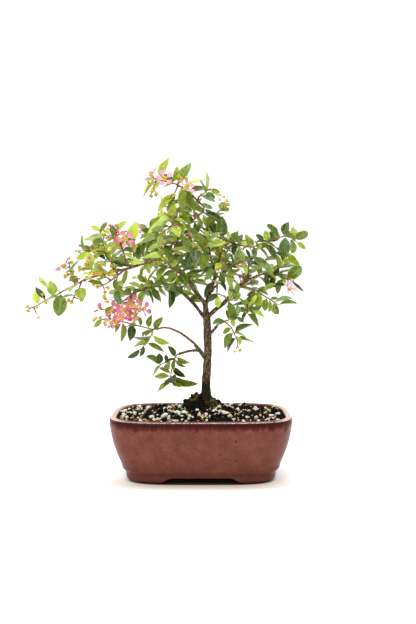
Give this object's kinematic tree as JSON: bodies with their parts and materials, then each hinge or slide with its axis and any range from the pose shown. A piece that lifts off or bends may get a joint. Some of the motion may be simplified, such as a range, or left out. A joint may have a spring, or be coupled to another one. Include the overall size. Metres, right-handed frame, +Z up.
{
  "type": "barbados cherry bonsai",
  "caption": "Flowering shrub trained as a small bonsai: slender trunk, open leafy crown with pink blooms, dark soil, in a low rounded rectangular glazed pot on feet.",
  "frame": {"origin": "middle of the object's box, on the table under the pot's feet", "axes": "+Z up, +X to the right as the tree is seen from its front, +Y away from that viewer, along the pot's short side"},
  "size_m": [0.3272, 0.1456, 0.3752],
  "materials": {
    "glaze": "gloss",
    "soil": "matte",
    "mesh_plastic": "matte",
    "bark": "matte",
    "leaf": "satin",
    "petal": "satin"
  },
  "bodies": {
    "root": {"pot": "glaze", "drain_screen_left": "mesh_plastic", "drain_screen_right": "mesh_plastic", "soil": "soil", "trunk_and_branches": "bark", "bloom_left_long_1": "petal", "bloom_upper_left_inner_1": "petal", "bloom_mid_left_1": "petal", "bloom_left_rise_1": "petal", "bloom_left_rise_2": "petal", "bloom_left_rise_3": "petal", "bloom_right_mid_1": "petal", "bloom_low_left_1": "petal", "bloom_low_left_2": "petal", "bloom_low_left_3": "petal", "bloom_left_1": "petal", "bloom_left_2": "petal", "bloom_left_3": "petal", "bloom_left_4": "petal", "leafy_stem_left_long": "leaf", "leafy_stem_upper_left_outer": "leaf", "leafy_stem_upper_left_inner": "leaf", "leafy_stem_left_hanging": "leaf", "leafy_stem_mid_left": "leaf", "leafy_stem_left_rise": "leaf", "leafy_stem_crown_right": "leaf", "leafy_stem_crown_low": "leaf", "leafy_stem_right_rise": "leaf", "leafy_stem_upper_right": "leaf", "leafy_stem_right_mid": "leaf", "leafy_stem_right_high": "leaf", "leafy_stem_right_inner": "leaf", "leafy_stem_right_low": "leaf", "leafy_stem_low_right": "leaf", "leafy_stem_low_left": "leaf", "leafy_stem_low_left_under": "leaf", "leafy_stem_left": "leaf", "leafy_stem_centre_mid": "leaf", "leafy_stem_centre_low": "leaf", "leafy_stem_front_left": "leaf", "leafy_stem_front_centre": "leaf", "leafy_stem_back_left": "leaf", "leafy_stem_back_centre": "leaf", "leafy_stem_back_right": "leaf", "leafy_stem_back_low": "leaf", "leafy_stem_front_top": "leaf", "leafy_stem_back_top": "leaf", "leafy_stem_right_back": "leaf", "leafy_stem_right_front": "leaf"}
  },
  "joints": []
}
